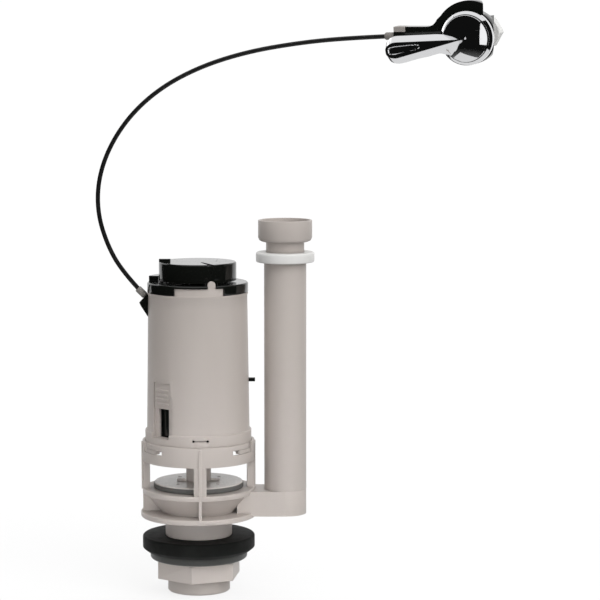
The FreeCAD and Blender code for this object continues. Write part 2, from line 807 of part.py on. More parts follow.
cap = turned([
    (Size(6.4), S.cap_high - 1.8),
    (S.cap_radius - 1.5, S.cap_high - 1.8),
    (S.cap_radius - 1.5, S.cap_low),
    (S.cap_radius, S.cap_low),
    (S.cap_radius, S.cap_high - 0.8),
    (S.cap_radius - 0.8, S.cap_high),
    (Size(6.4), S.cap_high),
])
cap_window = cylinder(Size(50.0), S.cap_high - 1.8 - S.cap_low + 2.0, 0.0, 0.0, S.cap_low - 2.0,
                      about("z", -115.6), 59.0)
tab_notch = spoke(Size(6.4), Size(32.0), Size(45.0), Size(160.0), Size(175.0), TAB_ANGLE)
entry_wall = common(tube(S.cap_radius, Size(29.5), S.cap_high - 1.0, Size(172.6)),
                    cylinder(Size(50.0), Size(10.0), 0.0, 0.0, Size(165.0), about("z", 140.0), 28.0))
keep(cut(fuse(cap, entry_wall), cap_window, tab_notch), "top_cap")

dial = turned([
    (Size(0.0), Size(162.4)),
    (Size(6.2), Size(162.4)),
    (Size(6.2), Size(164.2)),
    (Size(5.2), Size(164.2)),
    (Size(5.2), Size(165.6)),
    (Size(6.2), Size(165.6)),
    (Size(6.2), S.dial_high - 2.4),
    (S.dial_radius - 2.0, S.dial_high - 2.4),
    (S.dial_radius - 2.0, S.dial_low),
    (S.dial_radius, S.dial_low),
    (S.dial_radius, S.dial_high - 0.7),
    (S.dial_radius - 0.7, S.dial_high),
    (Size(0.0), S.dial_high),
])
GROOVE_ANGLE = -68.0
groove = plate([(Size(8.0), Size(-0.9)), (Size(30.0), Size(-2.2)), (Size(30.0), Size(2.2)),
                (Size(8.0), Size(0.9))], Size(2.0))
shifted(groove, z=S.dial_high - 0.9, rotation=about("z", GROOVE_ANGLE))
notch = plate([(Size(-2.6), Size(0.0)), (Size(0.0), Size(-9.0)), (Size(2.6), Size(0.0))],
              Size(2.4), "XZ_Plane")
notch_turn = about("z", GROOVE_ANGLE + 90.0)
notch_spot = notch_turn.multVec(Vector(0, -26.8, 0))
shifted(notch, notch_spot.x, notch_spot.y, S.dial_high + 0.1, notch_turn)
pointer = block(Size(8.2), Size(3.0), Size(2.4), -27.5, -1.5, S.dial_high - 0.5)
keep(fuse(cut(dial, groove, notch), pointer), "tuning_dial")

dial_clip = turned([
    (Size(5.25), Size(164.3)),
    (Size(9.5), Size(164.3)),
    (Size(9.5), Size(165.5)),
    (Size(5.25), Size(165.5)),
])
gap = block(Size(14.0), Size(6.0), Size(4.0), 0.0, -3.0, 163.0)
keep(cut(dial_clip, gap), "dial_clip")

# ---------------------------------------------------------------- cable entry on the valve

gusset = plate([
    (Size(-30.0), Size(161.9)),
    (Size(-34.9), Size(161.9)),
    (Size(-41.6), Size(154.6)),
    (Size(-40.4), Size(152.0)),
    (Size(-35.6), Size(144.6)),
    (Size(-30.0), Size(144.2)),
], Size(9.0), "XZ_Plane")
shifted(gusset, y=4.5)
clear = cone(S.housing_foot + 0.02, S.housing_head + 0.02, S.housing_high - S.skirt_high, 0.0, 0.0,
             S.skirt_high)
bead = cylinder(S.housing_head + 0.55, Size(4.0), 0.0, 0.0, S.housing_high - 2.2)
cap_clear = cylinder(S.cap_radius + 0.05, Size(12.0), 0.0, 0.0, S.cap_low - 0.1)
ferrule_way = cable_line(Size(FERRULE_NECK + 0.05), -12.0, 30.0)
bracket = cut(gusset, clear, bead, cap_clear, ferrule_way)
keep(bracket, "cable_bracket")

ferrule = turned([
    (Size(WIRE_BORE), Size(-0.5)),
    (Size(FERRULE_NECK), Size(-0.5)),
    (Size(FERRULE_NECK), Size(FERRULE_COLLAR_FROM)),
    (Size(FERRULE_COLLAR), Size(FERRULE_COLLAR_FROM)),
    (Size(FERRULE_COLLAR), Size(FERRULE_END - 0.7)),
    (Size(FERRULE_COLLAR - 0.4), Size(FERRULE_END)),
    (S.sheath_diameter / 2 + 0.02, Size(FERRULE_END)),
    (S.sheath_diameter / 2 + 0.02, Size(SEAT_IN_VALVE)),
    (Size(WIRE_BORE), Size(SEAT_IN_VALVE)),
])
shifted(ferrule, mouth.x, 0.0, mouth.z, CABLE_TURN)
keep(ferrule, "valve_ferrule")

# ---------------------------------------------------------------- lever

# The lever has a frame of its own: x to the right, y away from the user along the
# spindle, z up. It stands yawed and tipped a little, as it hangs on its cable.
LEVER_ORIGIN = Vector(189.3, -34.0, 342.4)
LEVER_YAW = -21.0
LEVER_TILT = 4.8
LEVER_TURN = about("z", LEVER_YAW).multiply(about("x", LEVER_TILT))
LEVER_PLACE = Placement(LEVER_ORIGIN, LEVER_TURN)
BACK_TURN = about("x", -90.0)


def lever_place(thing):
    """Takes a sub-part drawn in the lever's frame to its place."""
    thing.Placement = LEVER_PLACE.multiply(thing.Placement)
    return thing


def spun(points):
    """A piece turned about the spindle from (radius, depth) corners."""
    body = turned([(radius, depth) for radius, depth in points])
    body.Placement = Placement(Vector(0, 0, 0), BACK_TURN)
    return body


def spindle_bar(radius, near, far):
    """A round bar along the spindle."""
    return cylinder(radius, far - near, 0.0, near, 0.0, BACK_TURN)


def front_plate(points, near, far):
    """A flat piece whose outline is seen from the user's side."""
    body = plate(points, far - near, "XZ_Plane")
    return shifted(body, y=far)


rose = spun([
    (S.spigot_radius - 2.3, Size(-1.6)),
    (S.boss_radius + 0.4, Size(-1.6)),
    (S.boss_radius + 0.4, Size(-4.4)),
    (S.boss_radius + 1.0, Size(-4.6)),
    (S.rose_radius - 0.3, Size(-2.0)),
    (S.rose_radius, Size(-1.4)),
    (S.rose_radius, Size(0.0)),
    (S.spigot_radius, Size(0.0)),
    (S.spigot_radius, S.spigot_length),
    (S.spigot_radius - 2.3, S.spigot_length),
])
pin_window = cylinder(Size(12.0), Size(3.4), 0.0, 5.3, 0.0,
                      BACK_TURN.multiply(about("z", 28.0)), 78.0)
keep(lever_place(cut(rose, pin_window)), "lever_rose")

boss_profile = spun([
    (Size(0.0), Size(-9.0)),
    (Size(6.0), Size(-8.6)),
    (Size(10.5), Size(-7.4)),
    (Size(14.0), Size(-5.6)),
    (S.boss_radius, Size(-3.6)),
    (S.boss_radius, Size(-1.9)),
    (Size(0.0), Size(-1.9)),
])
handle_bar = front_plate([
    (Size(1.5), Size(1.4)),
    (Size(-12.0), S.lever_root),
    (-S.lever_reach + 10.0, S.lever_tip),
    (-S.lever_reach + 4.4, S.lever_tip - 1.3),
    (-S.lever_reach + 1.4, S.lever_tip - 4.2),
    (-S.lever_reach, Size(0.0)),
    (-S.lever_reach + 1.4, -S.lever_tip + 4.2),
    (-S.lever_reach + 4.4, -S.lever_tip + 1.3),
    (-S.lever_reach + 10.0, -S.lever_tip),
    (Size(-12.0), -S.lever_root),
    (Size(1.5), Size(-1.4)),
], Size(-13.0), Size(-7.0))
droop = about("y", -S.lever_droop.value)
handle_bar.Placement = Placement(Vector(0, 0, 0), droop).multiply(handle_bar.Placement)
keep(lever_place(fuse(boss_profile, handle_bar)), "lever_handle")

spindle_shape = spun([
    (Size(0.0), Size(-1.9)),
    (Size(5.2), Size(-1.9)),
    (Size(5.2), Size(52.6)),
    (Size(4.2), Size(52.6)),
    (Size(4.2), Size(53.8)),
    (Size(5.0), Size(53.8)),
    (Size(5.0), Size(55.2)),
    (Size(0.0), Size(55.2)),
])
cross_hole = cylinder(Size(1.25), Size(30.0), 0.0, 7.0, -15.0)
keep(lever_place(cut(spindle_shape, cross_hole)), "lever_spindle")

drive_pin = cylinder(Size(1.2), Size(15.4), 0.0, 7.0, -10.4)
keep(lever_place(drive_pin), "drive_pin")

end_clip = spun([
    (Size(4.3), Size(52.7)),
    (Size(8.4), Size(52.7)),
    (Size(8.4), Size(53.7)),
    (Size(4.3), Size(53.7)),
])
clip_gap = block(Size(20.0), Size(3.0), Size(5.0), 0.0, 51.5, -2.5)
keep(lever_place(cut(end_clip, clip_gap)), "spindle_clip")

gasket_ring = spun([
    (Size(9.6), Size(0.05)),
    (Size(18.6), Size(0.05)),
    (Size(18.6), Size(1.6)),
    (Size(9.6), Size(1.6)),
])
gasket_ring.Placement = Placement(Vector(-1.6, 0, -0.6), BACK_TURN)
keep(lever_place(gasket_ring), "rose_gasket")

# The bracket is a shallow cup round the drum, with a guard over the top, an arm for
# the cable and a square block behind.
ARM_END = -55.4
ARM_LOW = -2.6
ARM_TOP = 7.4
CUP_RADIUS = 18.9
CUP_NEAR = 3.3
CUP_FAR = 13.0
CLIP_LENGTH = 8.7
CLIP_LOW = 3.7
LEVER_NECK = 2.3
LEVER_COLLAR = 2.7
cup = spindle_bar(Size(CUP_RADIUS), Size(CUP_NEAR), Size(CUP_FAR))
guard_disc = spindle_bar(S.guard_radius, Size(CUP_NEAR), Size(CUP_FAR))
guard_zone = front_plate([
    (Size(0.0), Size(0.0)),
    (Size(12.0), Size(12.0)),
    (Size(12.0), Size(30.0)),
    (Size(-30.0), Size(30.0)),
    (Size(-30.0), Size(-2.6)),
    (Size(0.0), Size(-2.6)),
], Size(CUP_NEAR), Size(CUP_FAR))
arm = block(Size(-ARM_END - 10.0), Size(CUP_FAR - CUP_NEAR), Size(ARM_TOP - ARM_LOW), ARM_END,
            CUP_NEAR, ARM_LOW)
throat = cylinder(Size(8.0), Size(CUP_FAR - CUP_NEAR), -30.9, CUP_NEAR, ARM_TOP + 8.0, BACK_TURN)
throat_fill = front_plate([
    (Size(-31.5), Size(ARM_TOP - 0.1)),
    (Size(-18.0), Size(ARM_TOP - 0.1)),
    (Size(-20.0), Size(15.6)),
    (Size(-24.4), Size(11.5)),
], Size(CUP_NEAR), Size(CUP_FAR))
hub_block = block(Size(23.8), Size(14.0), Size(23.0), -12.6, CUP_FAR - 0.5, -9.4)
clip_seat = block(Size(CLIP_LENGTH + 1.0), Size(CUP_FAR - CUP_NEAR + 2.0), Size(10.0),
                  ARM_END - 1.0, CUP_NEAR - 1.0, CLIP_LOW)
drum_room = spindle_bar(Size(17.2), Size(CUP_NEAR - 1.0), Size(10.8))
wire_way = front_plate([
    (Size(-52.5), Size(2.2)),
    (Size(-10.0), Size(0.0)),
    (Size(-4.0), Size(-17.0)),
    (Size(-11.0), Size(-16.5)),
    (Size(-38.0), Size(-5.4)),
    (Size(-52.5), Size(-1.4)),
], Size(5.2), Size(8.8))
ferrule_bore = cylinder(Size(LEVER_NECK + 0.05), Size(14.0), ARM_END - 1.0, 7.0, 0.5,
                        about("y", 90.0))
spring_room = spindle_bar(Size(11.0), Size(10.0), Size(24.0))
spigot_hole = spindle_bar(S.spigot_radius + 0.35, Size(0.0), Size(40.0))
slant = about("z", -LEVER_YAW)
guard_end = block(Size(30.0), Size(50.0), Size(60.0), 19.3, -20.0, -30.0, slant)
side_trim = block(Size(30.0), Size(50.0), Size(60.0), 21.3, -6.5, -30.0, slant)
hub_trim = block(Size(30.0), Size(50.0), Size(37.6), 22.0, -6.5, -30.0, slant)
guard = cut(common(guard_disc, guard_zone), guard_end)
bracket_solid = fuse(cut(cup, side_trim), guard, arm, cut(throat_fill, throat),
                     cut(hub_block, hub_trim))
lever_bracket = cut(bracket_solid, drum_room, wire_way, ferrule_bore, spring_room, spigot_hole,
                    clip_seat)
keep(lever_place(lever_bracket), "lever_bracket")

cover = spun([
    (S.spigot_radius + 0.35, Size(1.75)),
    (Size(18.2), Size(1.75)),
    (Size(18.2), Size(CUP_NEAR)),
    (S.spigot_radius + 0.35, Size(CUP_NEAR)),
])
cover_trim = block(Size(30.0), Size(50.0), Size(60.0), 21.3, -6.5, -30.0, slant)
keep(lever_place(cut(cover, cover_trim)), "bracket_cover")

drum = spun([
    (S.spigot_radius + 0.06, Size(4.6)),
    (Size(16.4), Size(4.6)),
    (Size(16.4), Size(5.6)),
    (S.drum_radius - 0.75, Size(6.2)),
    (S.drum_radius - 0.75, Size(7.8)),
    (Size(16.4), Size(8.4)),
    (Size(16.4), Size(9.4)),
    (S.spigot_radius + 0.06, Size(9.4)),
])
pin_seat = cylinder(Size(1.25), Size(12.0), 0.0, 7.0, -12.0)
keep(lever_place(cut(drum, pin_seat)), "cable_drum")

wrap_ring = tube(S.drum_radius + 0.7, S.drum_radius - 0.7, Size(0.0), Size(1.4))
wrap_zone = cylinder(Size(20.0), Size(4.0), 0.0, 0.0, Size(-1.0), about("z", 10.0), 94.0)
wrap = common(wrap_ring, wrap_zone)
wrap.Placement = Placement(Vector(0, 6.3, 0), BACK_TURN)
keep(lever_place(wrap), "drum_wire")

SPRING_RADIUS = 9.4
SPRING_WIRE = 0.6
SPRING_PITCH = 1.9
SPRING_TURNS = 6
spring_corners = []
for step in range(8):
    turn_at = math.radians(22.5 + 45.0 * step)
    spring_corners.append((Size(SPRING_RADIUS + SPRING_WIRE * math.cos(turn_at)),
                           Size(SPRING_WIRE * math.sin(turn_at))))
return_spring = doc.addObject("PartDesign::Body", fresh("coil"))
spring_sketch = outline_sketch(return_spring, "XZ_Plane", spring_corners)
spring_helix = return_spring.newObject("PartDesign::AdditiveHelix", fresh("helix"))
spring_helix.Profile = spring_sketch
spring_helix.ReferenceAxis = (spring_sketch, ["V_Axis"])
spring_helix.Mode = 0
spring_helix.Pitch = SPRING_PITCH
spring_helix.Height = SPRING_PITCH * SPRING_TURNS
return_spring.Placement = Placement(Vector(0, 11.6, 0), BACK_TURN)
keep(lever_place(return_spring), "return_spring")

NUT_NEAR = 38.6
NUT_FAR = 50.4
nut_prism = doc.addObject("Part::Prism", fresh("hexagon"))
nut_prism.Polygon = 6
nut_prism.Circumradius = 11.4
nut_prism.Height = NUT_FAR - NUT_NEAR
nut_prism.Placement = Placement(Vector(0, NUT_NEAR, 0), BACK_TURN)
nut_hole = spindle_bar(S.spigot_radius + 0.15, Size(NUT_NEAR - 1.0), Size(NUT_FAR + 1.0))
keep(lever_place(cut(nut_prism, nut_hole)), "spigot_nut")

nut_washer = spun([
    (S.spigot_radius + 0.3, Size(NUT_NEAR - 1.5)),
    (Size(11.6), Size(NUT_NEAR - 1.5)),
    (Size(11.6), Size(NUT_NEAR)),
    (S.spigot_radius + 0.3, Size(NUT_NEAR)),
])
keep(lever_place(nut_washer), "nut_washer")

saddle = block(Size(CLIP_LENGTH), Size(CUP_FAR - CUP_NEAR + 0.6), Size(ARM_TOP - CLIP_LOW),
               ARM_END, CUP_NEAR - 0.3, CLIP_LOW)
keep(lever_place(saddle), "cable_clip")

WIRE_FROM = Vector(ARM_END + 6.0, 7.0, 0.5)
SEAT_IN_LEVER = 8.4
LEVER_FERRULE_END = 13.4
lever_ferrule = turned([
    (Size(WIRE_BORE), Size(0.0)),
    (Size(LEVER_NECK), Size(0.0)),
    (Size(LEVER_NECK), Size(6.0)),
    (Size(LEVER_COLLAR), Size(6.0)),
    (Size(LEVER_COLLAR), Size(LEVER_FERRULE_END - 0.8)),
    (Size(LEVER_COLLAR - 0.5), Size(LEVER_FERRULE_END)),
    (S.sheath_diameter / 2 + 0.02, Size(LEVER_FERRULE_END)),
    (S.sheath_diameter / 2 + 0.02, Size(SEAT_IN_LEVER)),
    (Size(WIRE_BORE), Size(SEAT_IN_LEVER)),
])
lever_ferrule.Placement = Placement(WIRE_FROM, about("y", -90.0))
keep(lever_place(lever_ferrule), "lever_ferrule")

drum_middle = Vector(0, 7.0, 0)
span = (drum_middle - WIRE_FROM).Length
slope = math.asin(S.drum_radius.value / span) + math.atan2(WIRE_FROM.z, -WIRE_FROM.x)
run_length = math.sqrt(span ** 2 - S.drum_radius.value ** 2)
run_direction = Vector(math.cos(slope), 0, -math.sin(slope))
lever_wire = cylinder(S.wire_radius, Size(run_length - 0.5))
lever_wire.Placement = Placement(WIRE_FROM, Rotation(Vector(0, 0, 1), run_direction))
keep(lever_place(lever_wire), "lever_wire")

# ---------------------------------------------------------------- cable sheath

outward = Vector(-1, 0, 1).normalize()
sheath_from = mouth + outward * SEAT_IN_VALVE
sheath_to = LEVER_PLACE.multVec(WIRE_FROM + Vector(-SEAT_IN_LEVER, 0, 0))

ROUTE = [
    tuple(sheath_from),
    (-54.3, 0.8, 176.8),
    (-65.2, 2.5, 196.9),
    (-71.6, 4.5, 219.4),
    (-70.6, 6.5, 243.4),
    (-61.8, 8.2, 267.3),
    (-46.1, 9.6, 289.6),
    (-24.2, 10.6, 308.2),
    (3.6, 11.0, 322.4),
    (35.5, 10.2, 332.3),
    (70.2, 8.0, 338.4),
    (104.6, 3.4, 342.0),
    tuple(sheath_to),
]


def rounded_path(points):
    """Straight runs joined by tangent arcs as large as the runs allow."""
    corners = [Vector(*point) for point in points]
    edges = []
    last = corners[0]
    radii = []
    for before, here, after in zip(corners, corners[1:], corners[2:]):
        inward = (here - before).normalize()
        outgoing = (after - here).normalize()
        turn = inward.getAngle(outgoing)
        shorter = min((here - before).Length, (after - here).Length)
        radius = 0.45 * shorter / math.tan(turn / 2)
        back = 0.45 * shorter
        enter = here - inward * back
        leave = here + outgoing * back
        bisector = (outgoing - inward).normalize()
        middle = here + bisector * (radius / math.cos(turn / 2) - radius)
        edges.append(Part.LineSegment(last, enter).toShape())
        edges.append(Part.Arc(enter, middle, leave).toShape())
        radii.append(radius)
        last = leave
    edges.append(Part.LineSegment(last, corners[-1]).toShape())
    print("sheath radii", [round(radius, 1) for radius in radii])
    print("runs", [round((b - a).Length, 1) for a, b in zip(corners, corners[1:])])
    return Part.Wire(edges)


path = rounded_path(ROUTE)
sheath_radius = S.sheath_diameter.value / 2
first_run = (Vector(*ROUTE[1]) - Vector(*ROUTE[0])).normalize()
section = Part.Wire(Part.makeCircle(sheath_radius, Vector(*ROUTE[0]), first_run))
sheath = doc.addObject("Part::Feature", fresh("sheath"))
sheath.Shape = path.makePipeShell([section], True, False)
keep(sheath, "cable_sheath")
print("sheath length %.1f volume %.1f expected %.1f" % (
    path.Length, sheath.Shape.Volume, math.pi * sheath_radius ** 2 * path.Length))

# ---------------------------------------------------------------- check and write

doc.recompute()
for thing in doc.Objects:
    if "Invalid" in thing.State or "Error" in thing.State:
        raise RuntimeError("failed: %s %s %s" % (thing.Name, thing.Label, thing.State))
os.makedirs("parts", exist_ok=True)
for thing in nodes:
    shape = thing.Shape
    if shape.isNull() or not shape.isValid() or not shape.Solids:
        raise RuntimeError("bad shape: " + thing.Label)
    box = shape.BoundBox
    print("%-20s solids %d volume %9.1f x %7.1f %7.1f y %7.1f %7.1f z %7.1f %7.1f" % (
        thing.Label, len(shape.Solids), shape.Volume, box.XMin, box.XMax, box.YMin, box.YMax,
        box.ZMin, box.ZMax))
    shape.exportStep("parts/%s.step" % thing.Label)
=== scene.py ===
import json
import math

import bmesh
import bpy
from mathutils import Matrix, Vector


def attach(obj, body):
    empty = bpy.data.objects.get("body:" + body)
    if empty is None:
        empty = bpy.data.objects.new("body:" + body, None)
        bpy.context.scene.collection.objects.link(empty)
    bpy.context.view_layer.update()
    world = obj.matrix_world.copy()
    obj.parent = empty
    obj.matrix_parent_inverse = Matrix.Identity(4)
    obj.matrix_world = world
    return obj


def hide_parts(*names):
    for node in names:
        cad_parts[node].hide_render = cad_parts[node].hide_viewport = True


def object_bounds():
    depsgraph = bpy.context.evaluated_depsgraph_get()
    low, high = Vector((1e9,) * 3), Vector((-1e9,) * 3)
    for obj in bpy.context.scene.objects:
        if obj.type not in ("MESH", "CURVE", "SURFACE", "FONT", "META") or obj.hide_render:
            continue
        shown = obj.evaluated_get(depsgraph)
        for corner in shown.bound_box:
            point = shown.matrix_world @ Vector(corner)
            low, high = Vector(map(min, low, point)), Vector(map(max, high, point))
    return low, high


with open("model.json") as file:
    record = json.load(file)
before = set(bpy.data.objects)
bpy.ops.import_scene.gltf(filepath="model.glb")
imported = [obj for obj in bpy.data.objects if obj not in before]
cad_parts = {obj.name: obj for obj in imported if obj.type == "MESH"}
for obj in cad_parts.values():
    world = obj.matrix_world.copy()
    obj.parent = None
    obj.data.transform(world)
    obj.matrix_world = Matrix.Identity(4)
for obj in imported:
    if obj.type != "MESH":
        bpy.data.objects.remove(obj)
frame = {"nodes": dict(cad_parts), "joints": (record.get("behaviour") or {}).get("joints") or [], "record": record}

# A cable-operated toilet flush valve. Lengths in the lists below are millimetres and
# become metres through MM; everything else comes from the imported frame.

MM = 0.001
CAD_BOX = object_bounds()
NODES = frame["nodes"]
JOINTS = {joint["name"]: joint for joint in frame["joints"]}
SCENE = bpy.context.scene
SCENE.view_settings.view_transform = "Standard"

# ------------------------------------------------------------------ camera and cord

CAMERA_TARGET = Vector((0.0731, 0.0, 0.1559))
CAMERA_DISTANCE = 1.716
CAMERA_ELEVATION = math.radians(6.5)
CAMERA_LENS = 144.0
CAMERA_SENSOR = 36.0

# The sheath's route from the valve's ferrule to the lever's ferrule.
CABLE_ROUTE = [
    (-39.6267, 0.0, 161.1267),
    (-54.3, 0.8, 176.8),
    (-65.2, 2.5, 196.9),
    (-71.6, 4.5, 219.4),
    (-70.6, 6.5, 243.4),
    (-61.8, 8.2, 267.3),
    (-46.1, 9.6, 289.6),
    (-24.2, 10.6, 308.2),
    (3.6, 11.0, 322.4),
    (35.5, 10.2, 332.3),
    (70.2, 8.0, 338.4),
    (104.6, 3.4, 342.0),
    (137.8238, -6.8132, 343.4840),
]
CABLE_DIAMETER = 3.2


def linked(obj):
    """Puts an object in the scene."""
    SCENE.collection.objects.link(obj)
    return obj


def aimed(obj, place, target):
    """Stands a camera or light at a place and turns it to a target."""
    obj.location = place
    obj.rotation_mode = "QUATERNION"
    obj.rotation_quaternion = (Vector(target) - Vector(place)).to_track_quat("-Z", "Y")
    return obj


def make_camera():
    """The camera, slightly above the valve and straight at its front."""
    data = bpy.data.cameras.new("camera")
    data.lens = CAMERA_LENS
    data.sensor_width = CAMERA_SENSOR
    back = Vector((0.0, -math.cos(CAMERA_ELEVATION), math.sin(CAMERA_ELEVATION)))
    camera = linked(bpy.data.objects.new("camera", data))
    SCENE.camera = aimed(camera, CAMERA_TARGET + back * CAMERA_DISTANCE, CAMERA_TARGET)


def make_cable(material):
    """The cable's jacket along its route."""
    curve = bpy.data.curves.new("cable_jacket", "CURVE")
    curve.dimensions = "3D"
    curve.resolution_u = 24
    curve.bevel_depth = CABLE_DIAMETER / 2 * MM
    curve.bevel_resolution = 7
    curve.use_fill_caps = True
    spline = curve.splines.new("NURBS")
    spline.points.add(len(CABLE_ROUTE) - 1)
    for point, place in zip(spline.points, CABLE_ROUTE):
        point.co = (*[c * MM for c in place], 1.0)
    spline.order_u = 3
    spline.use_endpoint_u = True
    curve.materials.append(material)
    cable = linked(bpy.data.objects.new("cable_jacket", curve))
    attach(cable, "valve_body")
    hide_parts("cable_sheath")


# ------------------------------------------------------------------ light and floor

FLOOR_DROP = 0.0006
FLOOR_SIZE = 9.0
FLOOR_NEAR = 0.20
FLOOR_CORE = 0.05
FLOOR_FAR = 0.75
WORLD_SEEN = 1.02
WORLD_MIRRORED = 0.006
WORLD_GLOW = 0.34
VALVE_MIDDLE = (0.06, 0.0, 0.15)
BACKDROP_MIDDLE = (0.05, 0.0, 0.32)
LEVER_MIDDLE = (0.189, -0.034, 0.342)


def softbox(name, place, target, width, height, radiance, sees=("diffuse", "glossy"),
            spread=180.0):
    """One rectangular studio light that the camera does not see."""
    data = bpy.data.lights.new(name, "AREA")
    data.shape = "RECTANGLE"
    data.size = width
    data.size_y = height
    data.energy = radiance * math.pi * width * height
    data.spread = math.radians(spread)
    light = linked(bpy.data.objects.new(name, data))
    light.visible_camera = False
    light.visible_diffuse = "diffuse" in sees
    light.visible_glossy = "glossy" in sees
    return aimed(light, place, target)


def make_light():
    """A dark studio with softboxes; returns the collection that mirrors two of them."""
    world = bpy.data.worlds.new("studio")
    world.use_nodes = True
    SCENE.world = world
    tree = world.node_tree
    background = tree.nodes["Background"]
    path = tree.nodes.new("ShaderNodeLightPath")
    seen = tree.nodes.new("ShaderNodeMapRange")
    seen.inputs["To Min"].default_value = WORLD_MIRRORED
    seen.inputs["To Max"].default_value = WORLD_SEEN
    around = tree.nodes.new("ShaderNodeMath")
    around.operation = "MULTIPLY_ADD"
    around.inputs[1].default_value = WORLD_GLOW
    tree.links.new(path.outputs["Is Camera Ray"], seen.inputs["Value"])
    tree.links.new(path.outputs["Is Diffuse Ray"], around.inputs[0])
    tree.links.new(seen.outputs["Result"], around.inputs[2])
    tree.links.new(around.outputs["Value"], background.inputs["Strength"])
    background.inputs["Color"].default_value = (1.0, 1.0, 1.0, 1.0)
    softbox("key", (0.75, -1.20, 1.20), VALVE_MIDDLE, 1.20, 0.90, 4.15, ("diffuse",))
    softbox("right", (1.10, -0.62, 0.45), VALVE_MIDDLE, 0.46, 0.62, 3.0, ("diffuse",))
    softbox("top", (0.05, 0.05, 1.20), VALVE_MIDDLE, 1.30, 1.70, 0.95)
    softbox("front_fill", (-0.95, -1.7, 0.25), VALVE_MIDDLE, 1.6, 0.8, 1.5, ("diffuse",))
    softbox("backdrop", (0.05, 1.15, 0.55), BACKDROP_MIDDLE, 3.2, 1.7, 1.0)
    softbox("table", (0.16, -0.05, CAD_BOX[0].z - 0.02), (0.16, -0.05, 1.0), 0.95, 0.80, 0.80,
            ("glossy",))
    softbox("low_fill", (0.10, -1.25, 0.03), (0.03, 0.0, -0.03), 0.50, 0.22, 0.34,
            ("diffuse",), 17.0)
    window = softbox("window", (0.27, -1.22, 0.33), LEVER_MIDDLE, 0.49, 0.85, 1.1, ("glossy",))
    left = softbox("left", (-0.83, 0.33, 0.70), LEVER_MIDDLE, 1.0, 1.0, 1.0, ("glossy",))
    plated = bpy.data.collections.new("plated_pieces")
    for light in (window, left):
        light.light_linking.receiver_collection = plated
    return plated


def make_floor():
    """A pale floor that fades into the white room round the object."""
    low = CAD_BOX[0]
    mesh = bpy.data.meshes.new("floor")
    half = FLOOR_SIZE / 2
    z = low.z - FLOOR_DROP
    corners = [(-half, -half, z), (half, -half, z), (half, half, z), (-half, half, z)]
    mesh.from_pydata(corners, [], [(0, 1, 2, 3)])
    material = bpy.data.materials.new("floor_white")
    material.use_nodes = True
    tree = material.node_tree
    surface = tree.nodes["Principled BSDF"]
    surface.inputs["Base Color"].default_value = (0.85, 0.85, 0.85, 1.0)
    surface.inputs["Roughness"].default_value = 0.9
    surface.inputs["Specular IOR Level"].default_value = 0.0
    place = tree.nodes.new("ShaderNodeTexCoord")
    size = tree.nodes.new("ShaderNodeVectorMath")
    size.operation = "LENGTH"
    fade = tree.nodes.new("ShaderNodeMapRange")
    fade.interpolation_type = "SMOOTHSTEP"
    fade.inputs["From Min"].default_value = FLOOR_CORE
    fade.inputs["From Max"].default_value = FLOOR_FAR
    fade.inputs["To Min"].default_value = FLOOR_NEAR
    fade.inputs["To Max"].default_value = 0.0
    tree.links.new(place.outputs["Object"], size.inputs[0])
    tree.links.new(size.outputs["Value"], fade.inputs["Value"])
    tree.links.new(fade.outputs["Result"], surface.inputs["Alpha"])
    mesh.materials.append(material)
    floor = linked(bpy.data.objects.new("floor", mesh))


# ------------------------------------------------------------------ materials


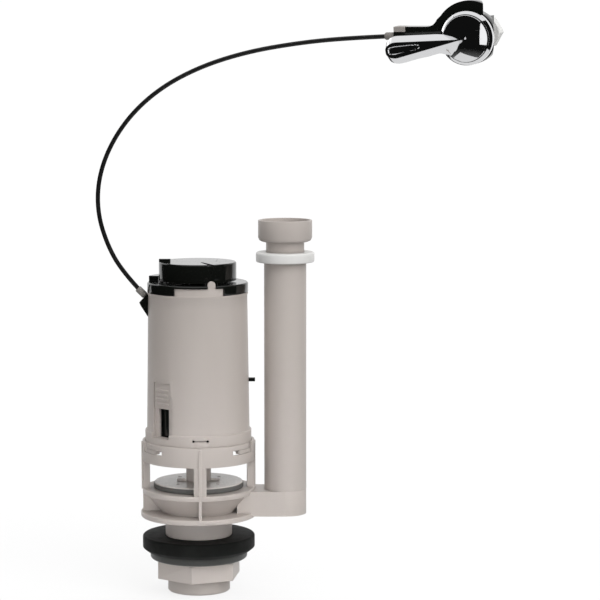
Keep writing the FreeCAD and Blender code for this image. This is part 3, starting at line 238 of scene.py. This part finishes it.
class Surface:
    """A material's node tree with short ways to add detail to its Principled shader."""

    def __init__(self, name, colour, roughness, metallic=0.0):
        self.material = bpy.data.materials.new(name)
        self.material.use_nodes = True
        self.tree = self.material.node_tree
        self.shader = self.tree.nodes["Principled BSDF"]
        self.colour = colour
        self.roughness = roughness
        self.rough = None
        self.height = None
        self.normal = None
        self.place = self.tree.nodes.new("ShaderNodeTexCoord").outputs["Object"]
        self.set("Metallic", metallic)

    def set(self, socket, value):
        """A constant on the shader's own socket."""
        self.shader.inputs[socket].default_value = value

    def math(self, operation, first, second=None, clamp=False):
        """One scalar operation on sockets or numbers."""
        node = self.tree.nodes.new("ShaderNodeMath")
        node.operation = operation
        node.use_clamp = clamp
        for socket, value in zip(node.inputs, (first, second)):
            if value is None:
                continue
            if isinstance(value, (int, float)):
                socket.default_value = value
            else:
                self.tree.links.new(value, socket)
        return node.outputs[0]

    def stretched(self, scale):
        """The object's own coordinates, stretched per axis."""
        node = self.tree.nodes.new("ShaderNodeMapping")
        node.inputs["Scale"].default_value = scale
        self.tree.links.new(self.place, node.inputs["Vector"])
        return node.outputs["Vector"]

    def noise(self, scale, detail=2.0, stretch=None, distortion=0.0):
        """Fractal noise from 0 to 1; scale is in cells per metre."""
        node = self.tree.nodes.new("ShaderNodeTexNoise")
        node.inputs["Scale"].default_value = scale
        node.inputs["Detail"].default_value = detail
        node.inputs["Distortion"].default_value = distortion
        source = self.stretched(stretch) if stretch else self.place
        self.tree.links.new(source, node.inputs["Vector"])
        return node.outputs["Fac"]

    def ramp(self, value, low, high, to_low=0.0, to_high=1.0):
        """Clamped smooth change of a value between two levels."""
        node = self.tree.nodes.new("ShaderNodeMapRange")
        node.interpolation_type = "SMOOTHSTEP"
        self.tree.links.new(value, node.inputs["Value"])
        for socket, number in (("From Min", low), ("From Max", high), ("To Min", to_low),
                               ("To Max", to_high)):
            node.inputs[socket].default_value = number
        return node.outputs["Result"]

    def tint(self, mask, colour, amount=1.0):
        """Mixes another colour in where the mask is high."""
        node = self.tree.nodes.new("ShaderNodeMix")
        node.data_type = "RGBA"
        factor = self.math("MULTIPLY", mask, amount)
        self.tree.links.new(factor, node.inputs["Factor"])
        if isinstance(self.colour, tuple):
            node.inputs["A"].default_value = (*self.colour, 1.0)
        else:
            self.tree.links.new(self.colour, node.inputs["A"])
        node.inputs["B"].default_value = (*colour, 1.0)
        self.colour = node.outputs["Result"]

    def roughen(self, mask, amount):
        """Adds to the roughness where the mask is high."""
        step = self.math("MULTIPLY", mask, amount)
        base = self.roughness if self.rough is None else self.rough
        self.rough = self.math("ADD", base, step, clamp=True)

    def bump(self, height, depth):
        """Adds a relief of the given depth in metres."""
        node = self.tree.nodes.new("ShaderNodeBump")
        node.inputs["Distance"].default_value = depth
        self.tree.links.new(height, node.inputs["Height"])
        if self.normal is not None:
            self.tree.links.new(self.normal, node.inputs["Normal"])
        self.normal = node.outputs["Normal"]

    def edges(self, radius):
        """A mask that is high on the edges, where hands and tools rub."""
        soft = self.tree.nodes.new("ShaderNodeBevel")
        soft.samples = 4
        soft.inputs["Radius"].default_value = radius
        flat = self.tree.nodes.new("ShaderNodeNewGeometry")
        dot = self.tree.nodes.new("ShaderNodeVectorMath")
        dot.operation = "DOT_PRODUCT"
        self.tree.links.new(soft.outputs["Normal"], dot.inputs[0])
        self.tree.links.new(flat.outputs["Normal"], dot.inputs[1])
        return self.ramp(dot.outputs["Value"], 0.995, 0.86)

    def painted_corner_shade(self, distance):
        """A mask that is high in corners and creases, for painted shade that darkens the colour there."""
        node = self.tree.nodes.new("ShaderNodeAmbientOcclusion")
        node.samples = 4
        node.inputs["Distance"].default_value = distance
        return self.ramp(node.outputs["AO"], 0.75, 0.15)

    def done(self):
        """Wires the chains to the shader."""
        self.tree.links.new(self.colour, self.shader.inputs["Base Color"])
        if self.rough is None:
            self.set("Roughness", self.roughness)
        else:
            self.tree.links.new(self.rough, self.shader.inputs["Roughness"])
        if self.normal is not None:
            self.tree.links.new(self.normal, self.shader.inputs["Normal"])
        return self.material


def moulded_plastic(name, colour, shade, roughness, grain=0.00002):
    """Satin moulded polypropylene: flow marks, fine grain, dust specks, scuffed edges, painted shade in corners.
    """
    made = Surface(name, colour, roughness)
    made.set("IOR", 1.49)
    made.tint(made.noise(22.0, 3.0), shade, 0.30)
    made.tint(made.ramp(made.noise(60.0, 4.0, (1.0, 1.0, 0.12)), 0.45, 0.75), shade, 0.22)
    specks = made.ramp(made.noise(1500.0, 1.0), 0.70, 0.80)
    made.tint(specks, [c * 0.72 for c in colour], 0.35)
    # Painted shade: darkens the colour in corners and creases.
    made.tint(made.painted_corner_shade(0.004), [c * 0.55 for c in colour], 0.45)
    edge = made.math("MULTIPLY", made.edges(0.0007), made.noise(240.0, 3.0))
    made.tint(edge, [min(1.0, c * 1.25) for c in colour], 0.8)
    made.roughen(made.noise(120.0, 4.0), 0.16)
    scratches = made.ramp(made.noise(900.0, 2.0, (1.0, 1.0, 0.05), 0.4), 0.62, 0.72)
    made.roughen(scratches, 0.10)
    made.bump(made.noise(45.0, 2.0), 0.00022)
    made.bump(made.noise(3200.0, 2.0), grain)
    made.bump(scratches, -0.00001)
    return made.done()


def gloss_black():
    """Polished black moulded plastic with hairline scratches and grey worn edges."""
    made = Surface("black_gloss_plastic", (0.0040, 0.0046, 0.0038), 0.07)
    made.set("IOR", 1.5)
    made.tint(made.noise(30.0, 3.0), (0.008, 0.009, 0.008), 0.6)
    made.tint(made.edges(0.0005), (0.05, 0.05, 0.047), 0.35)
    dust = made.ramp(made.noise(1100.0, 1.0), 0.72, 0.80)
    made.tint(dust, (0.10, 0.098, 0.092), 0.20)
    made.roughen(made.noise(90.0, 5.0), 0.06)
    hair = made.ramp(made.noise(700.0, 3.0, (1.0, 0.06, 1.0), 0.8), 0.60, 0.70)
    made.roughen(hair, 0.08)
    made.bump(made.noise(60.0, 2.0), 0.00012)
    made.bump(made.noise(2600.0, 2.0), 0.000006)
    made.bump(hair, -0.000006)
    return made.done()


def black_rubber():
    """Dense moulded rubber with a dull bloom and fine sunk pits, darkened in colour as painted shade."""
    made = Surface("black_rubber", (0.0035, 0.0040, 0.0034), 0.56)
    made.set("IOR", 1.34)
    made.tint(made.ramp(made.noise(70.0, 5.0), 0.45, 0.75), (0.008, 0.009, 0.008), 0.7)
    made.tint(made.edges(0.0008), (0.030, 0.030, 0.028), 0.5)
    pits_with_painted_shade = made.ramp(made.noise(1400.0, 2.0), 0.60, 0.75)
    # Painted shade: the sunk pits are darkened in colour.
    made.tint(pits_with_painted_shade, (0.002, 0.002, 0.002), 0.6)
    made.roughen(made.noise(160.0, 4.0), 0.28)
    made.bump(made.noise(500.0, 3.0), 0.00007)
    made.bump(pits_with_painted_shade, -0.00003)
    return made.done()


def grey_rubber():
    """Soft grey silicone for the seat seal."""
    made = Surface("grey_rubber", (0.10, 0.098, 0.094), 0.42)
    made.set("Subsurface Weight", 0.05)
    made.tint(made.noise(90.0, 3.0), (0.15, 0.148, 0.14), 0.5)
    made.tint(made.edges(0.0006), (0.22, 0.215, 0.205), 0.5)
    made.roughen(made.noise(260.0, 3.0), 0.2)
    made.bump(made.noise(1500.0, 2.0), 0.00003)
    return made.done()


def chrome():
    """Bright plating with faint orange peel, wipe marks, hairlines and painted shade in its corners."""
    made = Surface("chrome_plate", (0.80, 0.80, 0.81), 0.035, 1.0)
    made.tint(made.noise(40.0, 3.0), (0.72, 0.725, 0.74), 0.5)
    # Painted shade: darkens the plating in corners and creases.
    made.tint(made.painted_corner_shade(0.002), (0.30, 0.29, 0.27), 0.7)
    smear = made.ramp(made.noise(120.0, 5.0, (1.0, 1.0, 0.35)), 0.50, 0.80)
    made.roughen(smear, 0.05)
    hair = made.ramp(made.noise(1500.0, 2.0, (0.05, 1.0, 1.0), 0.6), 0.64, 0.70)
    made.roughen(hair, 0.10)
    made.bump(made.noise(220.0, 2.0), 0.000010)
    made.bump(hair, -0.000002)
    return made.done()


def plain_steel():
    """Zinc-plated steel with drawn lines, dull blotches and painted shade in its corners."""
    made = Surface("zinc_steel", (0.55, 0.55, 0.54), 0.28, 1.0)
    blotch = made.ramp(made.noise(300.0, 4.0), 0.40, 0.75)
    made.tint(blotch, (0.34, 0.34, 0.33), 0.6)
    # Painted shade: darkens the steel in corners and creases.
    made.tint(made.painted_corner_shade(0.002), (0.12, 0.11, 0.10), 0.7)
    made.roughen(blotch, 0.25)
    lines = made.noise(2600.0, 2.0, (1.0, 0.04, 1.0))
    made.roughen(lines, 0.15)
    made.bump(lines, 0.00001)
    return made.done()


def turned_brass():
    """Turned brass with fine tool rings."""
    made = Surface("turned_brass", (0.62, 0.43, 0.17), 0.25, 1.0)
    made.tint(made.noise(400.0, 4.0), (0.36, 0.24, 0.10), 0.6)
    rings = made.noise(3000.0, 1.0, (0.03, 1.0, 0.03))
    made.roughen(rings, 0.2)
    made.bump(rings, 0.00001)
    return made.done()


def cable_jacket():
    """Extruded black jacket with draw lines and a slight scuff."""
    made = Surface("cable_jacket_black", (0.006, 0.006, 0.006), 0.36)
    made.tint(made.ramp(made.noise(220.0, 4.0), 0.50, 0.75), (0.022, 0.022, 0.021), 0.6)
    made.roughen(made.noise(420.0, 4.0), 0.30)
    made.bump(made.noise(900.0, 3.0), 0.00004)
    made.bump(made.noise(5000.0, 1.0), 0.00001)
    return made.done()

# ------------------------------------------------------------------ shaping

SAME_POINT = 1e-7
CAD_WELD = 1e-6
CAD_ANGLE = 35.0


def finished(mesh_maker, name, material, body, node, sharp):
    """Turns a bmesh into a smooth-shaded piece on a body that stands for a CAD node."""
    mesh = bpy.data.meshes.new(name)
    bmesh.ops.recalc_face_normals(mesh_maker, faces=mesh_maker.faces)
    mesh_maker.to_mesh(mesh)
    mesh_maker.free()
    for face in mesh.polygons:
        face.use_smooth = True
    mesh.set_sharp_from_angle(angle=math.radians(sharp))
    mesh.materials.append(material)
    piece = linked(bpy.data.objects.new(name, mesh))
    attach(piece, body)
    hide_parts(node)
    return piece


def rounded(points, steps=4):
    """A profile of (r, z[, radius]) corners with each corner that has a radius rounded."""
    count = len(points)
    result = []
    for index, point in enumerate(points):
        here = Vector(point[:2])
        radius = point[2] if len(point) > 2 else 0.0
        before = Vector(points[index - 1][:2])
        after = Vector(points[(index + 1) % count][:2])
        if radius <= 0.0:
            result.append(here)
            continue
        into = (before - here).normalized()
        out = (after - here).normalized()
        half = into.angle(out) / 2
        reach = min(radius / math.tan(half), (before - here).length * 0.49,
                    (after - here).length * 0.49)
        start = here + into * reach
        end = here + out * reach
        for step in range(steps + 1):
            t = step / steps
            result.append(start * (1 - t) ** 2 + here * 2 * t * (1 - t) + end * t * t)
    return result


def lathe(profile, centre, turn, sides):
    """A closed (r, z) profile turned about Z, then placed by a matrix and a centre."""
    made = bmesh.new()
    rings = []
    for index in range(sides):
        a = math.radians(360.0 * index / sides)
        ring = []
        for r, z in profile:
            spot = Vector((r * math.cos(a), r * math.sin(a), z))
            ring.append(made.verts.new((turn @ spot + centre) * MM))
        rings.append(ring)
    length = len(profile)
    for index in range(sides):
        first, second = rings[index], rings[(index + 1) % sides]
        for k in range(length):
            n = (k + 1) % length
            made.faces.new((first[k], second[k], second[n], first[n]))
    bmesh.ops.remove_doubles(made, verts=made.verts, dist=SAME_POINT)
    bmesh.ops.dissolve_degenerate(made, edges=made.edges, dist=SAME_POINT / 10)
    return made


def fused(whole, part):
    """Two bmeshes as one."""
    mesh = bpy.data.meshes.new("joined")
    part.to_mesh(mesh)
    part.free()
    whole.from_mesh(mesh)
    bpy.data.meshes.remove(mesh)
    return whole


def dress(node, material, width):
    """Gives a CAD node its finish and breaks its sharp edges."""
    piece = NODES[node]
    piece.data.materials.clear()
    piece.data.materials.append(material)
    weld = piece.modifiers.new("joined_corners", "WELD")
    weld.merge_threshold = CAD_WELD
    if width:
        bevel = piece.modifiers.new("soft_edges", "BEVEL")
        bevel.width = width * MM
        bevel.segments = 2
        bevel.limit_method = "ANGLE"
        bevel.angle_limit = math.radians(CAD_ANGLE)
        bevel.use_clamp_overlap = True


# ------------------------------------------------------------------ the lever's frame

LEVER_PIVOT = Vector(JOINTS["lever_press"]["pos_m"])
LEVER_Y = -Vector(JOINTS["lever_press"]["axis"]).normalized()
LEVER_X = LEVER_Y.cross(Vector((0.0, 0.0, 1.0))).normalized()
LEVER_Z = LEVER_X.cross(LEVER_Y)
LEVER_TURN = Matrix((LEVER_X, LEVER_Y, LEVER_Z)).transposed()
LEVER_AT = Vector(c / MM for c in LEVER_PIVOT)
LEVER_SIDES = 128

# Turns a lathe's Z axis onto the lever's own Y axis, which points into the tank.
INTO_TANK = LEVER_TURN @ Matrix(((1.0, 0.0, 0.0), (0.0, 0.0, 1.0), (0.0, -1.0, 0.0)))


def lever_lathe(profile):
    """A profile of (radius, depth along the lever's Y) turned about the lever's axis."""
    return lathe(profile, LEVER_AT, INTO_TANK, LEVER_SIDES)

# ------------------------------------------------------------------ finishes

LIGHT = moulded_plastic("light_plastic", (0.485, 0.44, 0.41), (0.43, 0.385, 0.355), 0.36)
WHITE = moulded_plastic("white_plastic", (0.74, 0.735, 0.72), (0.66, 0.65, 0.63), 0.34)
GREY = moulded_plastic("grey_plastic", (0.33, 0.305, 0.285), (0.27, 0.25, 0.23), 0.42)
BLACK = gloss_black()
RUBBER = black_rubber()
SEAL = grey_rubber()
CHROME = chrome()
STEEL = plain_steel()
BRASS = turned_brass()
JACKET = cable_jacket()

# Darker copy of the light plastic: painted shade for the outlet tail's shadowed shank and spigot.
TAIL_PAINTED_SHADE = moulded_plastic("tail_plastic_painted_shade", (0.40, 0.362, 0.337), (0.35, 0.315, 0.29), 0.38)
# Lighter copy of the light plastic: painted light on the plug disc's top; its lower roughness is real gloss.
PLUG_PAINTED_LIGHT = moulded_plastic("plug_plastic_painted_light", (0.62, 0.575, 0.54), (0.55, 0.51, 0.48), 0.16)
# Dark grey satin for the slip ring, its colour lifted above the black as a painted highlight.
SLIP_SATIN_PAINTED_HIGHLIGHT = moulded_plastic("slip_satin_painted_highlight", (0.040, 0.041, 0.038), (0.030, 0.031, 0.029), 0.34)
FERRULE = moulded_plastic("ferrule_plastic", (0.24, 0.225, 0.21), (0.19, 0.18, 0.165), 0.40)

FINISHES = {
    "light_plastic": LIGHT,
    "white_plastic": WHITE,
    "grey_plastic": GREY,
    "black_plastic": BLACK,
    "black_rubber": RUBBER,
    "grey_rubber": SEAL,
    "chrome": CHROME,
    "steel": STEEL,
    "brass": BRASS,
    "cable_black": JACKET,
}

# Pieces that get their own copy of their slot's plastic: the outlet tail darker as painted shade, the plug disc
# lighter as painted light and glossier, the slip ring a dark grey satin lifted as a painted highlight, and both
# ferrules a darker grey.
OWN_FINISH_AND_PAINTED_LIGHT = {
    "outlet_tail": TAIL_PAINTED_SHADE,
    "plug_disc": PLUG_PAINTED_LIGHT,
    "slip_ring": SLIP_SATIN_PAINTED_HIGHLIGHT,
    "valve_ferrule": FERRULE,
    "lever_ferrule": FERRULE,
}

make_camera()
PLATED = make_light()
make_floor()
make_cable(JACKET)

# ------------------------------------------------------------------ the lever

HANDLE_DROOP = math.radians(9.0)
HANDLE_END = -57.6
HANDLE_BACK = -7.0
HANDLE_FRONT = -13.0
HANDLE_ROOT = 1.5
FLANK_DEPTH = 4.4
FLANK = 4.1
FLANK_AT_ROOT = 1.2
FACE_WIDEST = 5.7
FACE_WIDEST_AT = -50.0
FACE_NARROWEST = 0.35
TIP_FROM = -47.0
TIP_DROP = 2.2
ROWS = 72
FACE_STEPS = 24
PAD_MIDDLE = -43.5
PAD_HALF = 11.8
PAD_SUNK = 0.7
DOME_TOP = -9.8
DOME_CURVE = 0.012
DOME_RADIUS = 15.9

# Where the paddle's lower flank ends: distance along the lever, distance below its axis.
LOWER_EDGE = [
    (-57.6, 9.8), (-50.0, 9.8), (-30.0, 8.2), (-19.0, 7.2), (-14.0, 9.0), (-12.0, 10.2),
    (-8.0, 7.5), (-3.0, 2.5), (0.0, 0.6), (1.5, 0.4),
]


def on_lever(x, y, z):
    """A point of the lever's own frame in the row frame, in metres."""
    return (LEVER_TURN @ Vector((x, y, z)) + LEVER_AT) * MM


def smooth(value, low, high):
    """Smooth change from 0 to 1 between two levels."""
    t = min(1.0, max(0.0, (value - low) / (high - low)))
    return t * t * (3.0 - 2.0 * t)


def tip_close(x):
    """How much of its width the paddle keeps near its rounded tip."""
    t = min(1.0, max(0.0, (x - TIP_FROM) / (HANDLE_END - TIP_FROM)))
    return max(0.0, 1.0 - t ** 2.4) ** 0.5


def face_half(x):
    """Half width of the paddle's flat face."""
    return max(FACE_NARROWEST, FACE_WIDEST * min(1.0, x / FACE_WIDEST_AT))


def edge_half(x):
    """Half width of the paddle over its sloping flanks."""
    return face_half(x) + FLANK_AT_ROOT + (FLANK - FLANK_AT_ROOT) * smooth(-x, 2.0, 20.0)


def lower_edge(x):
    """Half width of the paddle below its axis, read off the table."""
    for (x0, low), (x1, high) in zip(LOWER_EDGE, LOWER_EDGE[1:]):
        if x <= x1:
            return low + (high - low) * smooth(x, x0, x1)
    return LOWER_EDGE[-1][1]


def flank_foot(x, z):
    """Depth where a flank ends: free along the paddle, down on the dome at its root."""
    free = HANDLE_FRONT + FLANK_DEPTH
    on_dome = DOME_TOP + DOME_CURVE * (x * x + z * z) + 0.1
    return free + (on_dome - free) * smooth(x, -18.0, -13.5)


def pad_sink(x, z):
    """How far the thumb rest is sunk below the paddle's face at a point."""
    along = (x - PAD_MIDDLE) / PAD_HALF
    tall = 2.35 - 0.65 * along
    inside = 1.0 - (abs(along) ** 5 + abs(z / tall) ** 4)
    return PAD_SUNK * smooth(inside, 0.0, 0.45)


def paddle_side(x, face, edge, low, sign):
    """Corners (z, y) of one side of the paddle from its back to the face."""
    foot = flank_foot(x, edge)
    spots = [(edge - 1.1, max(foot, HANDLE_BACK) + 0.05), (edge - 0.3, foot + 0.35), (edge, foot)]
    for share in (0.12, 0.40, 0.70, 0.92):
        spots.append((edge + (face - edge) * share, foot + (low - foot) * share ** 0.9))
    return [(sign * max(z, 0.1), y) for z, y in spots]


def paddle_section(x):
    """Cross-section corners (z, y) from the top flank over the face to the bottom."""
    keep = tip_close(x)
    face = face_half(x) * keep
    share = 0.25 + 0.75 * keep if x > HANDLE_END + 0.01 else 0.03
    low = HANDLE_FRONT + (1.0 - keep) * TIP_DROP
    spots = paddle_side(x, face, edge_half(x) * share, low, 1.0)
    for step in range(FACE_STEPS + 1):
        z = face * (1.0 - 2.0 * step / FACE_STEPS)
        spots.append((z, low + pad_sink(x, z)))
    return spots + list(reversed(paddle_side(x, face, lower_edge(x) * share, low, -1.0)))


def make_handle():
    """The paddle and the domed boss it grows from."""
    made = bmesh.new()
    cos, sin = math.cos(HANDLE_DROOP), math.sin(HANDLE_DROOP)
    rings = []
    for step in range(ROWS + 1):
        t = step / ROWS
        x = HANDLE_ROOT + (HANDLE_END - HANDLE_ROOT) * (1.0 - (1.0 - t) ** 1.6)
        ring = []
        for z, y in paddle_section(x):
            ring.append(made.verts.new(on_lever(x * cos - z * sin, y, x * sin + z * cos)))
        rings.append(ring)
    for first, second in zip(rings, rings[1:]):
        for k in range(len(first)):
            n = (k + 1) % len(first)
            made.faces.new((first[k], second[k], second[n], first[n]))
    made.faces.new(rings[0])
    made.faces.new(list(reversed(rings[-1])))
    dome = []
    for step in range(17):
        r = DOME_RADIUS * step / 16
        dome.append((r, DOME_TOP + DOME_CURVE * r * r))
    boss = lever_lathe(dome + [(16.15, -6.4), (16.15, -1.9), (0.0, -1.9)])
    return fused(made, boss)


handle = finished(make_handle(), "lever_handle_body", CHROME, "lever", "lever_handle",
                  28.0)

rose_profile = rounded([
    (5.3, -1.6), (16.35, -1.6), (16.35, -4.8), (16.6, -5.2, 0.2), (16.9, -4.9, 0.3),
    (18.7, -3.2, 0.5), (18.8, 0.0), (7.6, 0.0), (7.6, 51.0), (5.3, 51.0)])
rose = finished(lever_lathe(rose_profile), "lever_rose_body", CHROME, "valve_body",
                "lever_rose", 35.0)
PLATED.objects.link(handle)
PLATED.objects.link(rose)

# ------------------------------------------------------------------ the rest and the end

EDGE_WIDTH = 0.4
THIN_PIECES = ("drum_wire", "inner_wire", "lever_wire", "return_spring")

for entry in frame["record"]["subparts"]:
    node = entry["node"]
    finish = OWN_FINISH_AND_PAINTED_LIGHT.get(node, FINISHES[entry["material_slot"]])
    dress(node, finish, 0.0 if node in THIN_PIECES else EDGE_WIDTH)


def corners(box):
    """A box as plain lists."""
    return [[round(c, 6) for c in corner] for corner in box]
